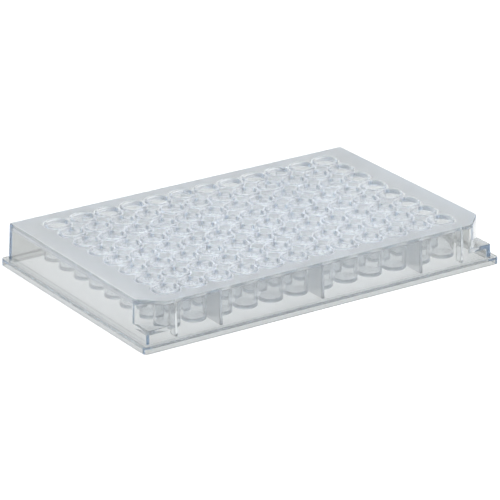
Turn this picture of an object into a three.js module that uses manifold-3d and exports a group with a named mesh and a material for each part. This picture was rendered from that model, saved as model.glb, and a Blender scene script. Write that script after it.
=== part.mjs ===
// A 96-well microplate with flat-bottomed wells, moulded in one piece from clear polystyrene.
// Millimetres, +Z up. The twelve columns run along X and the eight rows along Y, row one at +Y.
// The origin is the centre of the foot's underside, so the plate stands on z = 0.

import * as THREE from "three";
import { mergeVertices } from "three/addons/utils/BufferGeometryUtils.js";
import Module from "manifold-3d";

// Height, from the foot to the top of the well rims
const PLATE_HEIGHT = 14.35;

// Well field. The footprint is the field and an even border round it: 127.76 by 85.48
const COLUMNS = 12;
const ROWS = 8;
const PITCH = 9;
const END_BORDER = 14.38; // from the footprint's short edges in to the nearest well centres
const SIDE_BORDER = 11.24; // from its long edges in to the nearest well centres

// Flange, the wider foot that grippers and stacked plates locate on
const FLANGE_HEIGHT = 2.3;
const FLANGE_LIP = 1.1; // thickness of its upright edge
const FLANGE_SHOULDER = 1.0; // thickness of the step from the lip in to the skirt
const FLANGE_CORNER_RADIUS = 1.6;

// Skirt, the wall between flange and deck
const SKIRT_SETBACK = 1.8; // from the flange's edge in to the skirt's face, where the two meet
const SKIRT_DRAFT_DEGREES = 2.2;
const SKIRT_WALL = 1.3;
const SKIRT_CORNER_RADIUS = 0.7;

// Deck, the plate's flat top
const DECK_THICKNESS = 1.2;
const END_COVE = 1.0; // leg of the bevel that thickens the deck's joint with the two short walls

// The two front corners are cut off at 45 degrees, down to a small triangular ledge
const CHAMFER_LEG = 6.7; // along each wall, at the deck
const CHAMFER_CORNER_RADIUS = 3.5; // where the chamfer runs into the walls
const LEDGE_TOP = 6.3;
const LEDGE_THICKNESS = 1.6;

// Wells
const WELL_MOUTH_RADIUS = 3.43;
const WELL_DEPTH = 10.7; // rim top to well floor
const WELL_TAPER = 0.23; // how much smaller the radius is at the floor than at the mouth
const WELL_WALL = 0.6;
const WELL_FLOOR_THICKNESS = 1.0;
const RIM_WIDTH = 0.72; // raised ring round each mouth
const RIM_HEIGHT = 0.4; // ring above deck

// Stiffening ribs inside the two long walls
const LONG_RIB_SPACING = 4; // columns from the middle rib to the one on each side
const LONG_RIB_REACH = 7.5; // from the wall's inner face in between the wells
const RIB_THICKNESS = 0.8;
const RIB_FOOT = 2.2; // height of the ribs' lower edge
const SHORT_RIB_FROM_CHAMFER = 3.5; // along the wall, from the chamfer to the rib's middle
const SHORT_RIB_REACH = 2.5;

// How round things are divided. The sides come in fours, so that neighbouring wells meet flat to flat
const WELL_SIDES = 12;
const TUBE_SIDES = 8;
const CORNER_STEPS = 4;

const OVERLAP = 0.5; // how far shapes run into or past each other before they are joined or cut

const footprintLength = (COLUMNS - 1) * PITCH + 2 * END_BORDER;
const footprintWidth = (ROWS - 1) * PITCH + 2 * SIDE_BORDER;
const deckTop = PLATE_HEIGHT - RIM_HEIGHT;
const deckUnderside = deckTop - DECK_THICKNESS;
const wellFloor = PLATE_HEIGHT - WELL_DEPTH;
const tubeFoot = wellFloor - WELL_FLOOR_THICKNESS;
const recessTop = FLANGE_HEIGHT - FLANGE_SHOULDER;
const draftSlope = Math.tan(THREE.MathUtils.degToRad(SKIRT_DRAFT_DEGREES));
const wellFloorRadius = WELL_MOUTH_RADIUS - WELL_TAPER;

const wasm = await Module();
wasm.setup();

// Distance from the footprint's edge in to the skirt's outer face at height z.
function skirtInset(z) {
  return SKIRT_SETBACK + (z - FLANGE_HEIGHT) * draftSlope;
}

// Leg of the front chamfers on an outline with this inset, which keeps the skirt's wall even.
function chamferLeg(inset) {
  return CHAMFER_LEG - (2 - Math.SQRT2) * (inset - skirtInset(deckTop));
}

// An arc in place of an outline's corner, on an outline that runs anticlockwise.
function roundedCorner(before, corner, after, radius) {
  const incoming = corner.clone().sub(before).normalize();
  const outgoing = after.clone().sub(corner).normalize();
  const turn = incoming.angleTo(outgoing);
  const start = corner.clone().addScaledVector(incoming, -radius * Math.tan(turn / 2));
  const centre = start.clone().add(new THREE.Vector2(-incoming.y, incoming.x).multiplyScalar(radius));
  const startAngle = incoming.angle() - Math.PI / 2;
  const endAngle = startAngle + turn;
  const arc = new THREE.EllipseCurve(centre.x, centre.y, radius, radius, startAngle, endAngle);
  const quarterTurns = turn / (Math.PI / 2);
  return arc.getPoints(Math.round(CORNER_STEPS * quarterTurns));
}

// An outline of corners, given anticlockwise as [x, y, radius], with each corner rounded.
function rounded(corners) {
  const n = corners.length;
  const points = corners.map(([x, y]) => new THREE.Vector2(x, y));
  return points.flatMap((corner, i) => {
    const before = points[(i + n - 1) % n];
    const after = points[(i + 1) % n];
    return roundedCorner(before, corner, after, corners[i][2]);
  });
}

// The plate's plan, moved in from the footprint by inset.
function plan(inset, radius) {
  const x = footprintLength / 2 - inset;
  const y = footprintWidth / 2 - inset;
  return rounded([
    [x, y, radius],
    [-x, y, radius],
    [-x, -y, radius],
    [x, -y, radius],
  ]);
}

// The same plan with its front corners cut off by a chamfer of this leg and corner radius.
function chamferedPlan(inset, radius, leg, chamferRadius) {
  const x = footprintLength / 2 - inset;
  const y = footprintWidth / 2 - inset;
  return rounded([
    [x, y, radius],
    [-x, y, radius],
    [-x, leg - y, chamferRadius],
    [leg - x, -y, chamferRadius],
    [x - leg, -y, chamferRadius],
    [x, leg - y, chamferRadius],
  ]);
}

// A closed geometry between an outline at footZ and one with as many points at topZ.
function loft(footOutline, footZ, topOutline, topZ) {
  const n = footOutline.length;
  const position = [
    ...footOutline.flatMap((p) => [p.x, p.y, footZ]),
    ...topOutline.flatMap((p) => [p.x, p.y, topZ]),
  ];
  const index = [];
  for (let i = 0; i < n; i++) {
    const next = (i + 1) % n;
    index.push(i, next, n + next, i, n + next, n + i);
  }
  for (const [a, b, c] of THREE.ShapeUtils.triangulateShape(footOutline, [])) {
    index.push(c, b, a);
    index.push(n + a, n + b, n + c);
  }
  const geometry = new THREE.BufferGeometry();
  geometry.setAttribute("position", new THREE.Float32BufferAttribute(position, 3));
  geometry.setIndex(index);
  return geometry;
}

// A drafted block that follows the skirt between two heights, moved in by wall.
function skirtBlock(footZ, topZ, wall, radius) {
  const outlineAt = (z) => plan(skirtInset(z) + wall, radius);
  return loft(outlineAt(footZ), footZ, outlineAt(topZ), topZ);
}

// The same block with the front chamfers, which keep an even wall round their corners too.
function chamferedBlock(footZ, topZ, wall, radius) {
  const outlineAt = (z) => {
    const inset = skirtInset(z) + wall;
    return chamferedPlan(inset, radius, chamferLeg(inset), CHAMFER_CORNER_RADIUS - wall);
  };
  return loft(outlineAt(footZ), footZ, outlineAt(topZ), topZ);
}

// A block with upright sides and the plan's outline.
function uprightBlock(footZ, topZ, inset, radius) {
  const outline = plan(inset, radius);
  return loft(outline, footZ, outline, topZ);
}

// Inside radius of a well at height z.
function wellRadius(z) {
  return wellFloorRadius + (WELL_TAPER * (z - wellFloor)) / WELL_DEPTH;
}

// A turned shape about a vertical axis at (x, y), from [radius, z] pairs that start and end on the axis.
// Its polygon has the area of the true circle, and flats that face along X and Y.
function turned(profile, sides, x, y) {
  const sameArea = Math.sqrt((2 * Math.PI) / (sides * Math.sin((2 * Math.PI) / sides)));
  const points = profile.map(([radius, z]) => new THREE.Vector2(radius * sameArea, z));
  return new THREE.LatheGeometry(points, sides)
    .rotateY(Math.PI / sides)
    .rotateX(Math.PI / 2)
    .translate(x, y, 0);
}

// The well's wall and floor with its raised rim, before the well is cut out of it.
function tube(x, y) {
  const insideDeck = deckTop - DECK_THICKNESS / 2;
  const topRadius = wellRadius(deckUnderside) + WELL_WALL;
  const rimRadius = WELL_MOUTH_RADIUS + RIM_WIDTH;
  return turned(
    [
      [0, tubeFoot],
      [wellFloorRadius + WELL_WALL, tubeFoot],
      [topRadius, deckUnderside],
      [topRadius, insideDeck],
      [rimRadius, insideDeck],
      [rimRadius, PLATE_HEIGHT],
      [0, PLATE_HEIGHT],
    ],
    TUBE_SIDES,
    x,
    y,
  );
}

// The well itself, run on past the rim at the same taper.
function well(x, y) {
  const cutTop = PLATE_HEIGHT + OVERLAP;
  return turned(
    [
      [0, wellFloor],
      [wellFloorRadius, wellFloor],
      [wellRadius(cutTop), cutTop],
      [0, cutTop],
    ],
    WELL_SIDES,
    x,
    y,
  );
}

// A rib inside a long wall, at x, on the side (-1 front, 1 back), reaching in from the wall's inner face.
function rib(x, side, reach) {
  const outerEnd = footprintWidth / 2 - skirtInset(deckTop);
  const innerEnd = footprintWidth / 2 - skirtInset(deckUnderside) - SKIRT_WALL - reach;
  const height = deckUnderside + DECK_THICKNESS / 2 - RIB_FOOT;
  return new THREE.BoxGeometry(RIB_THICKNESS, outerEnd - innerEnd, height)
    .translate(x, (side * (outerEnd + innerEnd)) / 2, RIB_FOOT + height / 2);
}

// The bevel along a short wall under the deck, on the side (-1 left, 1 right), from front to back.
function endCove(side) {
  const wallFace = footprintLength / 2 - skirtInset(deckUnderside) - SKIRT_WALL;
  const insideDeck = deckUnderside + DECK_THICKNESS / 2;
  const corners = [
    [wallFace - END_COVE, deckUnderside],
    [wallFace, deckUnderside - END_COVE],
    [wallFace + SKIRT_WALL, deckUnderside - END_COVE],
    [wallFace + SKIRT_WALL, insideDeck],
    [wallFace - END_COVE, insideDeck],
  ];
  const section = new THREE.Shape(corners.map(([x, z]) => new THREE.Vector2(side * x, z)));
  return new THREE.ExtrudeGeometry(section, { depth: footprintWidth, bevelEnabled: false })
    .rotateX(Math.PI / 2)
    .translate(0, footprintWidth / 2, 0);
}

// A closed geometry as a solid that can be joined and cut.
function solidOf(geometry) {
  const bare = geometry.clone();
  bare.deleteAttribute("normal");
  bare.deleteAttribute("uv");
  const merged = mergeVertices(bare, 1e-4);
  const mesh = new wasm.Mesh({
    numProp: 3,
    vertProperties: merged.getAttribute("position").array,
    triVerts: new Uint32Array(merged.getIndex().array),
  });
  return new wasm.Manifold(mesh);
}

// The solid's surface as a geometry, with flat normals.
function geometryOf(solid) {
  const { vertProperties, triVerts } = solid.getMesh();
  const indexed = new THREE.BufferGeometry();
  indexed.setAttribute("position", new THREE.BufferAttribute(vertProperties, 3));
  indexed.setIndex(new THREE.BufferAttribute(triVerts, 1));
  const geometry = indexed.toNonIndexed();
  geometry.computeVertexNormals();
  return geometry;
}

const join = (geometries) => geometries.map(solidOf).reduce((all, one) => all.add(one));

// Centre of each well, row by row.
function wellCentres() {
  const centres = [];
  for (let row = 0; row < ROWS; row++) {
    for (let column = 0; column < COLUMNS; column++) {
      centres.push([(column - (COLUMNS - 1) / 2) * PITCH, ((ROWS - 1) / 2 - row) * PITCH]);
    }
  }
  return centres;
}

// Skirt, deck and flange as one hollow tray, open below.
function tray() {
  const outside = join([
    uprightBlock(0, FLANGE_HEIGHT, 0, FLANGE_CORNER_RADIUS),
    skirtBlock(FLANGE_HEIGHT - OVERLAP, LEDGE_TOP, 0, SKIRT_CORNER_RADIUS),
    chamferedBlock(FLANGE_HEIGHT - OVERLAP, deckTop, 0, SKIRT_CORNER_RADIUS),
  ]);
  const lipCorner = FLANGE_CORNER_RADIUS - FLANGE_LIP;
  const innerCorner = SKIRT_CORNER_RADIUS / 2;
  const inside = join([
    uprightBlock(-OVERLAP, recessTop, FLANGE_LIP, lipCorner),
    skirtBlock(-OVERLAP, LEDGE_TOP - LEDGE_THICKNESS, SKIRT_WALL, innerCorner),
    chamferedBlock(-OVERLAP, deckUnderside, SKIRT_WALL, innerCorner),
  ]);
  return outside.subtract(inside);
}

// All the ribs: long ones between columns on both long walls, and a short one by each front chamfer.
function ribs() {
  const middleX = (Math.floor(COLUMNS / 2) - COLUMNS / 2) * PITCH;
  const spacing = LONG_RIB_SPACING * PITCH;
  const between = [middleX - spacing, middleX, middleX + spacing];
  const long = between.flatMap((x) => [-1, 1].map((side) => rib(x, side, LONG_RIB_REACH)));
  const chamferEnd = footprintLength / 2 - skirtInset(deckTop) - CHAMFER_LEG;
  const shortX = chamferEnd - SHORT_RIB_FROM_CHAMFER;
  const short = [-shortX, shortX].map((x) => rib(x, -1, SHORT_RIB_REACH));
  return [...long, ...short];
}

function plate() {
  const centres = wellCentres();
  const middleOfWall = solidOf(chamferedBlock(0, deckTop, SKIRT_WALL / 2, SKIRT_CORNER_RADIUS / 2));
  const stiffening = join([...ribs(), endCove(-1), endCove(1)]).intersect(middleOfWall);
  const tubes = join(centres.map(([x, y]) => tube(x, y)));
  const wells = join(centres.map(([x, y]) => well(x, y)));
  return tray().add(stiffening).add(tubes).subtract(wells);
}

const clearPolystyrene = new THREE.MeshStandardMaterial({
  color: 0xdce6ea,
  roughness: 0.08,
  metalness: 0,
  transparent: true,
  opacity: 0.35,
});

const mesh = new THREE.Mesh(geometryOf(plate()), clearPolystyrene);
mesh.name = "well_plate";

const wellPlate = new THREE.Group();
wellPlate.add(mesh);

export default wellPlate;
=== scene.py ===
# A clear polystyrene 96-well microplate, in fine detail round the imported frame. Metres, +Z up.
import math

import bmesh
import bpy
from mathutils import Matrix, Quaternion, Vector


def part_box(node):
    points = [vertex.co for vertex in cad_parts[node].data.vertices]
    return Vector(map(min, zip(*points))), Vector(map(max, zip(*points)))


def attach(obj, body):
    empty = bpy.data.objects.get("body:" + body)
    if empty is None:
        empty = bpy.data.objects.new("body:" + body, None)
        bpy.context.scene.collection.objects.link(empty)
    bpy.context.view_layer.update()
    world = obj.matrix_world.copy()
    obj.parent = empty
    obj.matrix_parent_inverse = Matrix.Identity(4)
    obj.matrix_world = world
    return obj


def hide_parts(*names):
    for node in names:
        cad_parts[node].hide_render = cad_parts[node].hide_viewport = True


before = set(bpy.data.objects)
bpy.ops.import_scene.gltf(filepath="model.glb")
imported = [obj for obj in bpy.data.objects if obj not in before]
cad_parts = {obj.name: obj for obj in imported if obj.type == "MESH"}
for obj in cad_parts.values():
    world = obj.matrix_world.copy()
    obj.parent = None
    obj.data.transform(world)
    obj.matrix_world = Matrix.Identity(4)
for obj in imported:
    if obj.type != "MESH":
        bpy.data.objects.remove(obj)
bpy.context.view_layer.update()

MM = 0.001
low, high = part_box("well_plate")
LENGTH = high.x - low.x
WIDTH = high.y - low.y
HEIGHT = high.z - low.z

# Sizes that the CAD model is made to
FLANGE_HEIGHT = 2.3 * MM
FLANGE_LIP = 1.1 * MM
FLANGE_SHOULDER = 1.0 * MM
FLANGE_CORNER_RADIUS = 1.6 * MM
SKIRT_SETBACK = 1.8 * MM
SKIRT_DRAFT = math.tan(math.radians(2.2))
SKIRT_WALL = 1.3 * MM
SKIRT_CORNER_RADIUS = 0.7 * MM
INNER_CORNER_RADIUS = SKIRT_CORNER_RADIUS / 2
DECK_THICKNESS = 1.2 * MM
END_COVE = 1.0 * MM
CHAMFER_LEG = 6.7 * MM
CHAMFER_CORNER_RADIUS = 3.5 * MM
LEDGE_TOP = 6.3 * MM
LEDGE_THICKNESS = 1.6 * MM
COLUMNS = 12
ROWS = 8
PITCH = 9 * MM
WELL_MOUTH_RADIUS = 3.43 * MM
WELL_DEPTH = 10.7 * MM
WELL_TAPER = 0.23 * MM
WELL_WALL = 0.6 * MM
WELL_FLOOR_THICKNESS = 1.0 * MM
RIM_WIDTH = 0.72 * MM
RIM_HEIGHT = 0.4 * MM
LONG_RIB_SPACING = 4 * PITCH
LONG_RIB_REACH = 7.5 * MM
RIB_THICKNESS = 0.8 * MM
RIB_FOOT = 2.2 * MM
SHORT_RIB_FROM_CHAMFER = 3.5 * MM
SHORT_RIB_REACH = 2.5 * MM

# Roundings that only the fine surface has
DECK_EDGE = 0.3 * MM
LEDGE_EDGE = 0.25 * MM
FLANGE_EDGE = 0.2 * MM
CAVITY_EDGE = 0.3 * MM
RIM_EDGE = 0.15 * MM
MOUTH_EDGE = 0.18 * MM
WELL_FLOOR_EDGE = 0.35 * MM
TUBE_FOOT_EDGE = 0.3 * MM
TUBE_ROOT = 0.3 * MM
RIB_EDGE = 0.12 * MM

# For edges and corners that have no rounding to speak of
SHARP_EDGE = 0.05 * MM
LEAST_RADIUS = 0.02 * MM

# How finely it is meshed, and how far a piece runs past what it joins or cuts
WELL_SIDES = 40
CORNER_STEPS = 6
EDGE_STEPS = 3
RIB_EDGE_STEPS = 2
ROUND_PROFILE = 0.5
SHARP_ANGLE = math.radians(38)
WELD_DISTANCE = 0.0001 * MM
OVERLAP = 0.5 * MM


def skirt_inset(z):
    """How far the skirt's outer face stands in from the footprint's edge."""
    return SKIRT_SETBACK + (z - FLANGE_HEIGHT) * SKIRT_DRAFT


def chamfer_leg(inset):
    """A cut corner's leg on an outline drawn in by inset: the cut moves in as far as the walls do."""
    return CHAMFER_LEG - (2 - math.sqrt(2)) * (inset - skirt_inset(deck_top))


def well_radius(z):
    """A well's inside radius at a height."""
    return well_floor_radius + WELL_TAPER * (z - well_floor) / WELL_DEPTH


deck_top = HEIGHT - RIM_HEIGHT
deck_underside = deck_top - DECK_THICKNESS
deck_middle = deck_underside + DECK_THICKNESS / 2
well_floor = HEIGHT - WELL_DEPTH
well_floor_radius = WELL_MOUTH_RADIUS - WELL_TAPER

# The skirt's inner faces, where they meet the deck
inner_inset = skirt_inset(deck_underside) + SKIRT_WALL
end_face = LENGTH / 2 - inner_inset
side_face = WIDTH / 2 - inner_inset

# ---------------------------------------------------------------- outlines and solids


def rounded(corners):
    """An anticlockwise outline of (x, y, radius) with each corner turned into an arc."""
    points = [Vector(c[:2]) for c in corners]
    out = []
    for i, corner in enumerate(points):
        incoming = (corner - points[i - 1]).normalized()
        outgoing = (points[(i + 1) % len(points)] - corner).normalized()
        turn = math.acos(max(-1.0, min(1.0, incoming.dot(outgoing))))
        radius = max(corners[i][2], LEAST_RADIUS)
        centre = corner - incoming * radius * math.tan(turn / 2) + Vector((-incoming.y, incoming.x)) * radius
        start = math.atan2(incoming.y, incoming.x) - math.pi / 2
        steps = max(1, round(CORNER_STEPS * turn / (math.pi / 2)))
        for k in range(steps + 1):
            angle = start + turn * k / steps
            out.append(centre + Vector((math.cos(angle), math.sin(angle))) * radius)
    return out


def plan(inset, radius):
    """The footprint drawn in by inset."""
    x, y = LENGTH / 2 - inset, WIDTH / 2 - inset
    return rounded([(x, y, radius), (-x, y, radius), (-x, -y, radius), (x, -y, radius)])


def chamfered_plan(inset, radius, chamfer_radius):
    """The footprint drawn in by inset, with its two front corners cut."""
    x, y, leg = LENGTH / 2 - inset, WIDTH / 2 - inset, chamfer_leg(inset)
    return rounded([
        (x, y, radius), (-x, y, radius),
        (-x, leg - y, chamfer_radius), (leg - x, -y, chamfer_radius),
        (x - leg, -y, chamfer_radius), (x, leg - y, chamfer_radius),
    ])


def fillet(radius):
    """Points of a quarter circle as (in, down) from the corner, from the side up to the top face."""
    quarter = [math.pi / 2 * k / EDGE_STEPS for k in range(EDGE_STEPS + 1)]
    return [(radius * (1 - math.cos(a)), radius * (1 - math.sin(a))) for a in quarter]


def mesh_object(name, bm):
    """A new object in the scene, made from bm, which is used up."""
    mesh = bpy.data.meshes.new(name)
    bmesh.ops.recalc_face_normals(bm, faces=bm.faces)
    bm.to_mesh(mesh)
    bm.free()
    thing = bpy.data.objects.new(name, mesh)
    bpy.context.scene.collection.objects.link(thing)
    return thing


def add_rings(bm, rings):
    """A closed skin through rings of equally many points, with a flat face on the first and the last."""
    loops = [[bm.verts.new(p) for p in ring] for ring in rings]
    n = len(loops[0])
    for below, above in zip(loops, loops[1:]):
        for i in range(n):
            bm.faces.new((below[i], below[(i + 1) % n], above[(i + 1) % n], above[i]))
    bm.faces.new(loops[0][::-1])
    bm.faces.new(loops[-1])


def loft(name, outlines):
    """A solid through (outline, z) pairs from the foot up."""
    bm = bmesh.new()
    add_rings(bm, [[(p.x, p.y, z) for p in outline] for outline, z in outlines])
    return mesh_object(name, bm)


def drafted(name, outline_at, foot, top, edge):
    """A block between two heights whose outline is outline_at(z, in), with its upper edge rounded."""
    outlines = [(outline_at(foot, 0), foot)]
    outlines += [(outline_at(top - down, inward), top - down) for inward, down in fillet(edge)]
    return loft(name, outlines)


def turned(name, profile, centres):
    """A turned solid from (radius, z) pairs, standing at each of the centres."""
    bm = bmesh.new()
    angles = [2 * math.pi * k / WELL_SIDES for k in range(WELL_SIDES)]
    circle = [(math.cos(a), math.sin(a)) for a in angles]
    for cx, cy in centres:
        add_rings(bm, [[(cx + r * c, cy + r * s, z) for c, s in circle] for r, z in profile])
    return mesh_object(name, bm)


def slab(name, corner_a, corner_b, edge):
    """A block between two corners with all its edges rounded."""
    bm = bmesh.new()
    bmesh.ops.create_cube(bm, size=1)
    for v in bm.verts:
        v.co = Vector([a if c < 0 else b for a, b, c in zip(corner_a, corner_b, v.co)])
    bmesh.ops.bevel(
        bm, geom=bm.edges[:], affect="EDGES", offset=edge, offset_type="OFFSET",
        segments=RIB_EDGE_STEPS, profile=ROUND_PROFILE)
    return mesh_object(name, bm)


def prism(name, section, y_from, y_to):
    """A bar of constant section, given as (x, z) pairs."""
    bm = bmesh.new()
    add_rings(bm, [[(x, y, z) for x, z in section] for y in (y_from, y_to)])
    return mesh_object(name, bm)


def combine(base, tool, operation):
    """Joins, cuts or intersects base with tool, which is used up."""
    modifier = base.modifiers.new("boolean", "BOOLEAN")
    modifier.operation = operation
    modifier.solver = "MANIFOLD"
    modifier.object = tool
    evaluated = base.evaluated_get(bpy.context.evaluated_depsgraph_get())
    mesh = bpy.data.meshes.new_from_object(evaluated)
    if not mesh.polygons:
        raise RuntimeError(f"{operation} with {tool.name} left nothing")
    old = base.data
    base.modifiers.clear()
    base.data = mesh
    bpy.data.meshes.remove(old)
    used = tool.data
    bpy.data.objects.remove(tool)
    bpy.data.meshes.remove(used)
    return base


# ---------------------------------------------------------------- the plate


def skirt_outline(wall, radius):
    """For drafted, the skirt's outline this far into its wall."""
    return lambda z, inward: plan(skirt_inset(z) + wall + inward, radius - inward)


def chamfered_outline(wall, radius):
    """For drafted, the same outline with its two front corners cut."""
    return lambda z, inward: chamfered_plan(
        skirt_inset(z) + wall + inward, radius - inward, CHAMFER_CORNER_RADIUS - wall - inward)


def make_tray():
    """The flange, the skirt, the ledges and the deck, hollow underneath."""
    under = FLANGE_HEIGHT - OVERLAP
    foot = [(plan(i, FLANGE_CORNER_RADIUS - i), d) for i, d in fillet(FLANGE_EDGE)][::-1]
    head = [(plan(i, FLANGE_CORNER_RADIUS - i), FLANGE_HEIGHT - d) for i, d in fillet(FLANGE_EDGE)]
    tray = loft("well_plate_body", foot + head)
    ledges = drafted("ledges", skirt_outline(0, SKIRT_CORNER_RADIUS), under, LEDGE_TOP, LEDGE_EDGE)
    combine(tray, ledges, "UNION")
    walls = drafted("walls", chamfered_outline(0, SKIRT_CORNER_RADIUS), under, deck_top, DECK_EDGE)
    combine(tray, walls, "UNION")

    recess_outline = plan(FLANGE_LIP, FLANGE_CORNER_RADIUS - FLANGE_LIP)
    recess_top = FLANGE_HEIGHT - FLANGE_SHOULDER
    combine(tray, loft("recess", [(recess_outline, -OVERLAP), (recess_outline, recess_top)]), "DIFFERENCE")
    below_ledge = drafted(
        "below_ledge", skirt_outline(SKIRT_WALL, INNER_CORNER_RADIUS),
        -OVERLAP, LEDGE_TOP - LEDGE_THICKNESS, SHARP_EDGE)
    combine(tray, below_ledge, "DIFFERENCE")
    cavity = drafted(
        "cavity", chamfered_outline(SKIRT_WALL, INNER_CORNER_RADIUS), -OVERLAP, deck_underside, CAVITY_EDGE)
    return combine(tray, cavity, "DIFFERENCE")


def make_rib(x, side, reach):
    """An upright rib that reaches in from the front wall (side -1) or the back wall (side 1)."""
    inner_end = side * (side_face - reach)
    outer_end = side * (WIDTH / 2 - skirt_inset(deck_top))
    near, far = sorted((inner_end, outer_end))
    half = RIB_THICKNESS / 2
    return slab("rib", (x - half, near, RIB_FOOT), (x + half, far, deck_middle), RIB_EDGE)


def make_cove(side):
    """The slope between the deck and the left end wall (side -1) or the right end wall (side 1)."""
    section = [
        (side * (end_face - END_COVE), deck_underside),
        (side * end_face, deck_underside - END_COVE),
        (side * (end_face + SKIRT_WALL), deck_underside - END_COVE),
        (side * (end_face + SKIRT_WALL), deck_middle),
        (side * (end_face - END_COVE), deck_middle),
    ]
    return prism("cove", section, -WIDTH / 2, WIDTH / 2)


def make_stiffening():
    """The ribs and coves, cut off halfway through the walls that they stand on."""
    short_x = LENGTH / 2 - skirt_inset(deck_top) - CHAMFER_LEG - SHORT_RIB_FROM_CHAMFER
    pieces = [make_rib(k * LONG_RIB_SPACING, side, LONG_RIB_REACH) for k in (-1, 0, 1) for side in (-1, 1)]
    pieces += [make_rib(x, -1, SHORT_RIB_REACH) for x in (-short_x, short_x)]
    pieces += [make_cove(side) for side in (-1, 1)]
    stiffening, *others = pieces
    for piece in others:
        combine(stiffening, piece, "UNION")
    outline_at = chamfered_outline(SKIRT_WALL / 2, INNER_CORNER_RADIUS)
    return combine(stiffening, drafted("core", outline_at, 0, deck_top, SHARP_EDGE), "INTERSECT")


def make_tubes(centres):
    """The tubes round the wells with the rims on top, filled in."""
    foot_z = well_floor - WELL_FLOOR_THICKNESS
    foot_radius = well_floor_radius + WELL_WALL
    root_radius = well_radius(deck_underside) + WELL_WALL
    rim_radius = WELL_MOUTH_RADIUS + RIM_WIDTH
    profile = [(foot_radius - i, foot_z + d) for i, d in fillet(TUBE_FOOT_EDGE)][::-1]
    profile += [(root_radius + i, deck_underside - d) for i, d in fillet(TUBE_ROOT)]
    profile += [(root_radius + TUBE_ROOT, deck_middle), (rim_radius, deck_middle)]
    profile += [(rim_radius - i, HEIGHT - d) for i, d in fillet(RIM_EDGE)]
    return turned("tubes", profile, centres)


def make_wells(centres):
    """The hollows of the wells."""
    profile = [(well_floor_radius - i, well_floor + d) for i, d in fillet(WELL_FLOOR_EDGE)][::-1]
    profile += [(WELL_MOUTH_RADIUS + i, HEIGHT - d) for i, d in fillet(MOUTH_EDGE)]
    profile += [(WELL_MOUTH_RADIUS + MOUTH_EDGE, HEIGHT + OVERLAP)]
    return turned("wells", profile, centres)


def make_plate():
    centres = [
        ((column - (COLUMNS - 1) / 2) * PITCH, ((ROWS - 1) / 2 - row) * PITCH)
        for row in range(ROWS) for column in range(COLUMNS)
    ]
    plate = make_tray()
    combine(plate, make_stiffening(), "UNION")
    combine(plate, make_tubes(centres), "UNION")
    combine(plate, make_wells(centres), "DIFFERENCE")

    # Slivers that the joins leave are welded, and every flat face keeps its own flat shading.
    bm = bmesh.new()
    bm.from_mesh(plate.data)
    bmesh.ops.remove_doubles(bm, verts=bm.verts, dist=WELD_DISTANCE)
    bm.to_mesh(plate.data)
    bm.free()
    plate.data.shade_smooth()
    plate.data.set_sharp_from_angle(angle=SHARP_ANGLE)
    plate.modifiers.new("weighted_normals", "WEIGHTED_NORMAL").keep_sharp = True
    return plate


# ---------------------------------------------------------------- node trees

# A noise's values lie mostly between these two.
NOISE_LOW = 0.3
NOISE_HIGH = 0.7
# Half the width of a mask's edge, where a mask doesn't give its own
MASK_SOFTNESS = 0.05 * MM


class Tree:
    """The node tree of a material or world. Its functions take sockets or plain values, and give sockets."""

    def __init__(self, owner, coordinates):
        owner.use_nodes = True
        self.nodes = owner.node_tree.nodes
        self.links = owner.node_tree.links
        self.nodes.clear()
        self.place = self.add("ShaderNodeTexCoord").outputs[coordinates]

    def put(self, value, socket):
        """Links a socket in, or sets a plain value."""
        if isinstance(value, bpy.types.NodeSocket):
            self.links.new(value, socket)
        else:
            socket.default_value = value

    def add(self, kind, inputs=None):
        node = self.nodes.new(kind)
        for key, value in (inputs or {}).items():
            self.put(value, node.inputs[key])
        return node

    def split(self, vector):
        node = self.add("ShaderNodeSeparateXYZ", {"Vector": vector})
        return node.outputs["X"], node.outputs["Y"], node.outputs["Z"]

    def maths(self, operation, a, b=0.0):
        node = self.add("ShaderNodeMath", {0: a, 1: b})
        node.operation = operation
        return node.outputs["Value"]

    def product(self, first, *others):
        for other in others:
            first = self.maths("MULTIPLY", first, other)
        return first

    def largest(self, first, *others):
        for other in others:
            first = self.maths("MAXIMUM", first, other)
        return first

    def between(self, value, from_min, from_max, to_min=0.0, to_max=1.0):
        limits = {"From Min": from_min, "From Max": from_max, "To Min": to_min, "To Max": to_max}
        return self.add("ShaderNodeMapRange", {"Value": value, **limits}).outputs["Result"]

    def above(self, value, limit, soft=MASK_SOFTNESS):
        return self.between(value, limit - soft, limit + soft)

    def below(self, value, limit, soft=MASK_SOFTNESS):
        return self.between(value, limit - soft, limit + soft, 1.0, 0.0)

    def noise(self, scale, detail):
        inputs = {"Vector": self.place, "Scale": scale, "Detail": detail}
        return self.add("ShaderNodeTexNoise", inputs).outputs["Fac"]

    def ramp(self, value, stops):
        """The colour at a value, between (value, colour) stops."""
        node = self.add("ShaderNodeValToRGB", {"Fac": value})
        elements = node.color_ramp.elements
        while len(elements) < len(stops):
            elements.new(0.5)
        for element, (position, colour) in zip(elements, stops):
            element.position = position
            element.color = (*colour, 1)
        return node.outputs["Color"]

    def shades(self, noise, tint_and_shade):
        """Noise spread over the colours between two given ones, a tint or a painted shade."""
        return self.ramp(noise, list(zip((NOISE_LOW, NOISE_HIGH), tint_and_shade)))

    def blend(self, share, a, b):
        """Colour a where the share is 0, and b where it is 1."""
        node = self.add("ShaderNodeMix", {"Factor": share})
        node.data_type = "RGBA"
        # The colour sockets share their names with the number sockets, so they go by place.
        self.put(a, node.inputs[6])
        self.put(b, node.inputs[7])
        return node.outputs[2]
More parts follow.
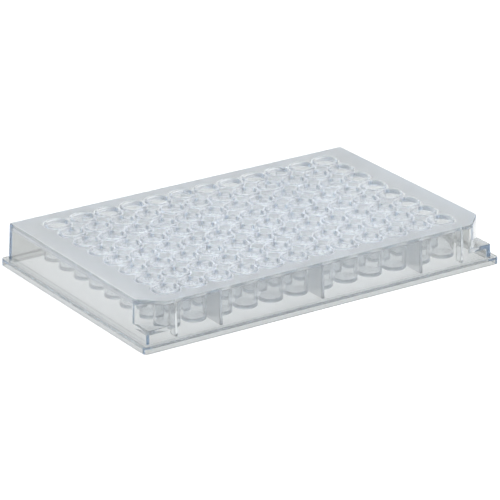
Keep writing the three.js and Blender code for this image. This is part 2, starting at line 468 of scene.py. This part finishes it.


# ---------------------------------------------------------------- clear polystyrene

# Each tint and each roughness varies between its two values. The walls are the skirt and flange, the border
# is the deck round the wells, the field is the deck between them, and inside are the wells, tubes and ribs.
# The walls' colours are painted shade on the plastic's faint tint, darkened to about half the inside's.
WALL_TINT_AND_SHADE = ((0.54, 0.55, 0.545), (0.57, 0.58, 0.575))
# The border's colours are painted shade too, the deck round the wells darkened below the inside's tint.
BORDER_TINT_AND_SHADE = ((0.725, 0.75, 0.765), (0.755, 0.78, 0.795))
INSIDE_TINT = ((0.935, 0.942, 0.95), (0.957, 0.962, 0.967))
POLISHED = (0.03, 0.06)
MATT = (0.28, 0.34)
# How far a surface goes from polished to matt, and how much of the light it scatters
FIELD_MATT = 0.6
WELL_MATT = 0.4
BORDER_HAZE = 0.22
RIB_HAZE = 0.12
WELL_HAZE = 0.22
# Scales and details of the noises behind the tints and painted shade, the roughness and the bumps
CLOUDS = (55, 2)
STREAKS = (240, 3)
RIPPLES = (130, 1)
BUMP_STRENGTH = 0.25
BUMP_DISTANCE = 0.03 * MM
POLYSTYRENE_IOR = 1.59
# Light that crosses the plastic turns bluer the further it goes.
DEPTH_COLOUR = (0.45, 0.65, 0.85, 1)
DEPTH_DENSITY = 18

# The field reaches this far from each well's axis, and the wells' walls have their haze above a height.
FIELD_RADIUS = 4.7 * MM
FIELD_SOFTNESS = 0.25 * MM
WELL_CLEAR_BELOW = 9.5 * MM
WELL_CLEAR_SOFTNESS = 1.0 * MM
# How far a mask's edge lies from the faces that it takes in or leaves out, which at the cut corners is
# measured along X and Y together
RIB_MARGIN = 0.1 * MM
FACE_MARGIN = 0.3 * MM
CHAMFER_MARGIN = 0.4 * MM
# A face is level where the upright part of its normal is above this.
LEVEL_NORMAL = 0.97
LEVEL_SOFTNESS = 0.02


def plate_regions(tree):
    """Masks that are 1 on a region of the plate and 0 elsewhere."""
    above, below, product = tree.above, tree.below, tree.product
    x, y, z = tree.split(tree.place)
    out_x, out_y = tree.maths("ABSOLUTE", x), tree.maths("ABSOLUTE", y)
    under_deck = below(z, deck_underside - RIB_MARGIN)

    # How far each point is from the axis of the nearest well
    from_column, from_row = [
        tree.maths("SUBTRACT", PITCH / 2, tree.maths("PINGPONG", v, PITCH / 2)) for v in (x, y)]
    squares = tree.maths("ADD", product(from_column, from_column), product(from_row, from_row))
    from_axis = tree.maths("SQRT", squares)
    among_wells = product(below(out_x, COLUMNS / 2 * PITCH), below(out_y, ROWS / 2 * PITCH))
    in_well = product(among_wells, below(from_axis, WELL_MOUTH_RADIUS + MOUTH_EDGE))

    chamfer_face = end_face + side_face - chamfer_leg(inner_inset)
    in_cavity = product(
        below(out_x, end_face - FACE_MARGIN), below(out_y, side_face - FACE_MARGIN),
        below(tree.maths("SUBTRACT", out_x, y), chamfer_face - CHAMFER_MARGIN), under_deck)
    from_rib = tree.maths("PINGPONG", x, LONG_RIB_SPACING / 2)
    on_rib = product(
        below(from_rib, RIB_THICKNESS / 2 + RIB_MARGIN), under_deck,
        above(out_y, side_face - LONG_RIB_REACH), below(out_y, side_face))

    normal_z = tree.split(tree.add("ShaderNodeNewGeometry").outputs["True Normal"])[2]
    level = above(tree.maths("ABSOLUTE", normal_z), LEVEL_NORMAL, LEVEL_SOFTNESS)
    on_deck = product(level, above(z, deck_underside - FACE_MARGIN))
    round_wells = product(among_wells, below(from_axis, FIELD_RADIUS, FIELD_SOFTNESS))
    return {
        "inside": tree.largest(among_wells, in_cavity),
        "well": product(in_well, above(z, WELL_CLEAR_BELOW, WELL_CLEAR_SOFTNESS)),
        "rib": on_rib,
        "border": product(on_deck, tree.maths("SUBTRACT", 1.0, round_wells)),
        "field": product(on_deck, round_wells),
    }


def clear_polystyrene():
    material = bpy.data.materials.new("clear_polystyrene")
    tree = Tree(material, "Object")
    product = tree.product
    region = plate_regions(tree)

    cloud = tree.noise(*CLOUDS)
    wall, border, inside = [tree.shades(cloud, tint_and_shade) for tint_and_shade in (WALL_TINT_AND_SHADE, BORDER_TINT_AND_SHADE, INSIDE_TINT)]
    # The walls and the border take their painted shade here, while inside keeps only the plastic's faint
    # tint.
    tint_and_shade = tree.blend(region["border"], tree.blend(region["inside"], wall, inside), border)

    # The walls are polished, and the border keeps the mould's fine matt texture.
    matt = tree.largest(
        region["border"], region["rib"],
        product(region["field"], FIELD_MATT), product(region["well"], WELL_MATT))
    streaks = tree.noise(*STREAKS)
    polished_to_matt = {
        "Factor": matt,
        "A": tree.between(streaks, NOISE_LOW, NOISE_HIGH, *POLISHED),
        "B": tree.between(streaks, NOISE_LOW, NOISE_HIGH, *MATT),
    }
    roughness = tree.add("ShaderNodeMix", polished_to_matt).outputs["Result"]

    haze = tree.largest(
        product(region["border"], BORDER_HAZE), product(region["rib"], RIB_HAZE),
        product(region["well"], WELL_HAZE))
    bump = tree.add("ShaderNodeBump", {
        "Strength": BUMP_STRENGTH, "Distance": BUMP_DISTANCE, "Height": tree.noise(*RIPPLES)})
    shader = tree.add("ShaderNodeBsdfPrincipled", {
        "Base Color": tint_and_shade,
        "Roughness": roughness,
        "Transmission Weight": tree.maths("SUBTRACT", 1.0, haze),
        "Normal": bump.outputs["Normal"],
        "IOR": POLYSTYRENE_IOR,
        "Metallic": 0.0,
    })
    depth = tree.add("ShaderNodeVolumeAbsorption", {"Color": DEPTH_COLOUR, "Density": DEPTH_DENSITY})
    tree.add("ShaderNodeOutputMaterial", {
        "Surface": shader.outputs["BSDF"], "Volume": depth.outputs["Volume"]})
    return material


plate = make_plate()
plate.name = "well_plate_fine"
plate.data.materials.clear()
plate.data.materials.append(clear_polystyrene())
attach(plate, "root")
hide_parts("well_plate")

# ---------------------------------------------------------------- floor

FLOOR_SIZE = 4.0
# The plate stands this far above the floor, so that no faces lie on each other.
FLOOR_GAP = 0.05 * MM
FLOOR_SHADES = [(0, (0.93, 0.93, 0.93)), (1, (0.95, 0.95, 0.95))]
FLOOR_GRAIN = (3, 2)
FLOOR_GLOW = 0.62


def floor_material():
    """Matt white that gives off a little light of its own."""
    material = bpy.data.materials.new("white_sweep")
    tree = Tree(material, "Generated")
    shader = tree.add("ShaderNodeBsdfPrincipled", {
        "Base Color": tree.ramp(tree.noise(*FLOOR_GRAIN), FLOOR_SHADES),
        "Roughness": 0.9,
        "Specular IOR Level": 0.0,
        "Emission Color": (1, 1, 1, 1),
        "Emission Strength": FLOOR_GLOW,
    })
    tree.add("ShaderNodeOutputMaterial", {"Surface": shader.outputs["BSDF"]})
    return material


def make_floor():
    bm = bmesh.new()
    bmesh.ops.create_grid(bm, x_segments=2, y_segments=2, size=FLOOR_SIZE)
    floor = mesh_object("floor", bm)
    floor.location.z = low.z - FLOOR_GAP
    floor.data.materials.append(floor_material())
    return floor


make_floor()

# ---------------------------------------------------------------- light and camera

# The camera's place, as seen from the point that it looks at
AZIMUTH = math.radians(-32.91)
ELEVATION = math.radians(21.6)
DISTANCE = 1.018
ROLL = math.radians(-0.43)
AIM_FROM_CENTRE = Vector((-3.16, -5.12, -0.17)) * MM
# In millimetres
LENS = 240
SENSOR = 36
# In metres
CLIP_START = 0.05
CLIP_END = 20

# Level directions away from the photographer and to their right, and the light from each side of the room as
# (height of the direction, brightness) pairs
AWAY = (-math.sin(AZIMUTH), math.cos(AZIMUTH), 0)
RIGHTWARDS = (math.cos(AZIMUTH), math.sin(AZIMUTH), 0)
LIGHT_LEFT = [(0, 0.42), (1, 0.5)]
LIGHT_RIGHT = [(0, 1.0), (1, 1.05)]
LIGHT_BACK = [(0, 1.0), (0.4, 1.2), (1, 1.15)]
LIGHT_FRONT = [(0, 0.25), (0.5, 0.45), (1, 0.6)]
BRIGHTEST = 1.2
# How far along a direction one side's light has wholly taken over
SIDE_REACH = 0.7

# Light crosses dozens of clear walls before it leaves the plate.
BOUNCES = 96
TRANSPARENT_BOUNCES = 32
BRIGHTEST_STRAY = 6.0


def make_studio(scene):
    """Soft light all round, given by height above the horizon on each of four sides."""
    scene.world = bpy.data.worlds.new("studio")
    tree = Tree(scene.world, "Generated")
    height = tree.split(tree.place)[2]

    def side(stops):
        return tree.ramp(height, [(position, [value / BRIGHTEST] * 3) for position, value in stops])

    def towards(direction, start, end):
        along = tree.add("ShaderNodeVectorMath", {0: tree.place, 1: direction})
        along.operation = "DOT_PRODUCT"
        return tree.between(along.outputs["Value"], start, end)

    light = tree.blend(towards(RIGHTWARDS, -SIDE_REACH, SIDE_REACH), side(LIGHT_LEFT), side(LIGHT_RIGHT))
    light = tree.blend(towards(AWAY, 0, SIDE_REACH), light, side(LIGHT_BACK))
    light = tree.blend(towards(AWAY, 0, -SIDE_REACH), light, side(LIGHT_FRONT))
    glow = tree.add("ShaderNodeBackground", {"Color": light, "Strength": BRIGHTEST})
    tree.add("ShaderNodeOutputWorld", {"Surface": glow.outputs["Background"]})


def set_light_paths(cycles):
    cycles.max_bounces = BOUNCES
    cycles.transmission_bounces = BOUNCES
    cycles.glossy_bounces = BOUNCES
    cycles.transparent_max_bounces = TRANSPARENT_BOUNCES
    cycles.caustics_refractive = True
    cycles.caustics_reflective = True
    cycles.blur_glossy = 0.0
    cycles.sample_clamp_indirect = BRIGHTEST_STRAY


def make_camera(scene):
    data = bpy.data.cameras.new("camera")
    data.lens = LENS
    data.sensor_width = SENSOR
    data.clip_start = CLIP_START
    data.clip_end = CLIP_END
    camera = bpy.data.objects.new("camera", data)
    scene.collection.objects.link(camera)
    level = math.cos(ELEVATION)
    back = Vector((math.sin(AZIMUTH) * level, -math.cos(AZIMUTH) * level, math.sin(ELEVATION)))
    camera.location = (low + high) / 2 + AIM_FROM_CENTRE + back * DISTANCE
    camera.rotation_mode = "QUATERNION"
    camera.rotation_quaternion = (-back).to_track_quat("-Z", "Y") @ Quaternion((0, 0, 1), ROLL)
    scene.camera = camera


scene = bpy.context.scene
scene.view_settings.view_transform = "Standard"
scene.view_settings.look = "None"
make_studio(scene)
set_light_paths(scene.cycles)
make_camera(scene)
